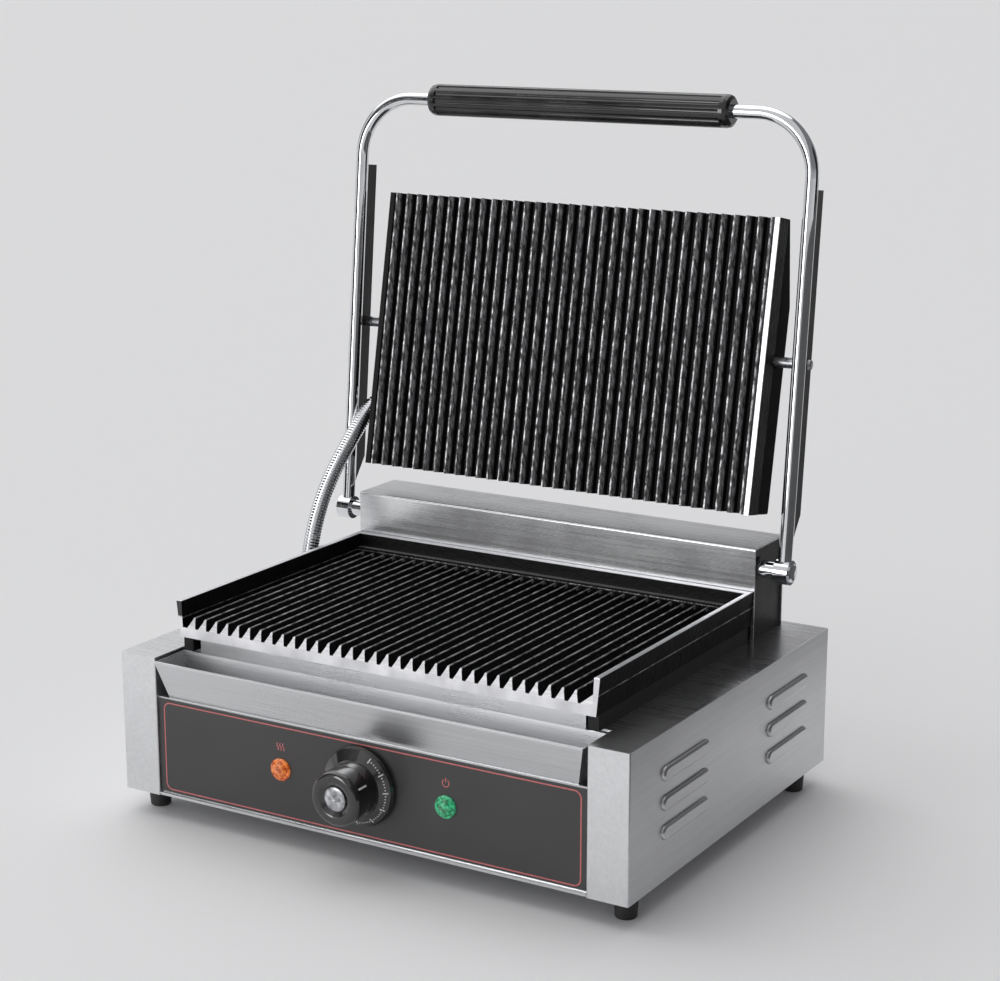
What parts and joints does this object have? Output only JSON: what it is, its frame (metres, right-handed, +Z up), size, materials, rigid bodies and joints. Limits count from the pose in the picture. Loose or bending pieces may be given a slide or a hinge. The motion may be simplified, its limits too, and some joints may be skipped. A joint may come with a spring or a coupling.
{
  "type": "contact grill",
  "caption": "Countertop contact grill: ribbed cast lower plate in a stainless casing, and a ribbed lid plate swinging on a U-shaped lift handle, with dial, lamps and drip tray.",
  "frame": {"origin": "on the surface the feet stand on, under the middle of the bounding box", "axes": "+X to the right seen from the front, +Y from front to back, +Z up"},
  "size_m": [0.4148, 0.3616, 0.5069],
  "materials": {
    "stainless": "brushed",
    "chrome": "polished",
    "cast_plate": "black enamel",
    "black_steel": "satin black",
    "cover": "satin black",
    "overlay": "satin",
    "knob_plastic": "satin",
    "grip_plastic": "satin",
    "insert": "spun",
    "orange_lens": "translucent",
    "green_lens": "translucent",
    "rubber": "matt",
    "zinc": "zinc plated",
    "element": "dark heat-tinted",
    "insulation": "ceramic fibre",
    "ceramic": "glazed",
    "bronze": "sintered",
    "gland_plastic": "moulded",
    "copper": "drawn"
  },
  "bodies": {
    "base": {"side_panel_right": "stainless", "side_panel_left": "stainless", "top_deck": "stainless", "rear_panel": "stainless", "bottom_plate": "stainless", "front_panel": "stainless", "control_overlay": "overlay", "feet": "rubber", "foot_screws": "zinc", "casing_screws": "zinc", "lower_plate": "cast_plate", "plate_frame": "black_steel", "plate_bolts": "zinc", "lower_heater": "element", "lower_heater_clamp": "zinc", "lower_insulation": "insulation", "heat_shield": "zinc", "thermostat_housing": "ceramic", "thermostat_capillary": "copper", "orange_lamp_holder": "orange_lens", "orange_lamp_lens": "orange_lens", "green_lamp_holder": "green_lens", "green_lamp_lens": "green_lens", "terminal_block": "ceramic", "cable_gland": "gland_plastic", "riser_cover": "stainless", "hinge_bracket_right": "black_steel", "hinge_bracket_left": "black_steel", "hinge_bushes": "bronze", "bracket_screws": "zinc", "counterbalance_springs": "zinc", "conduit_gland_deck": "chrome", "conduit_lower": "chrome"},
    "tray": {"drip_tray": "stainless"},
    "knob": {"knob_skirt": "knob_plastic", "knob_cap": "knob_plastic", "knob_insert": "insert", "thermostat_shaft": "zinc"},
    "lift_arms": {"lift_handle": "chrome", "arm_bar_right": "chrome", "arm_bar_left": "chrome", "pivot_pins": "chrome", "handle_grip": "grip_plastic", "hinge_shaft": "zinc", "hinge_spacers": "chrome", "shaft_collars": "zinc", "cap_nuts": "chrome", "conduit_upper": "chrome"},
    "lid": {"upper_plate": "cast_plate", "upper_cover": "cover", "pivot_bushes": "bronze", "upper_heater": "element", "upper_heater_clamp": "zinc", "upper_insulation": "insulation", "cover_screws": "zinc", "conduit_gland_lid": "chrome"}
  },
  "joints": [
    {"name": "arm_swing", "type": "hinge", "parent": "base", "child": "lift_arms", "pos_m": [0, 0.113, 0.1725], "axis": [1, 0, 0], "range_deg": [0, 101.5], "deforming": ["conduit_lower", "conduit_upper"]},
    {"name": "lid_tilt", "type": "hinge", "parent": "lift_arms", "child": "lid", "pos_m": [0, 0.14026, 0.31918], "axis": [1, 0, 0], "range_deg": [-2, 3], "deforming": ["conduit_upper"]},
    {"name": "knob_turn", "type": "hinge", "parent": "base", "child": "knob", "pos_m": [0, -0.165, 0.0585], "axis": [0, 1, 0], "range_deg": [0, 300]},
    {"name": "tray_slide", "type": "slide", "parent": "base", "child": "tray", "axis": [0, -1, 0], "range_m": [0, 0.045]}
  ]
}
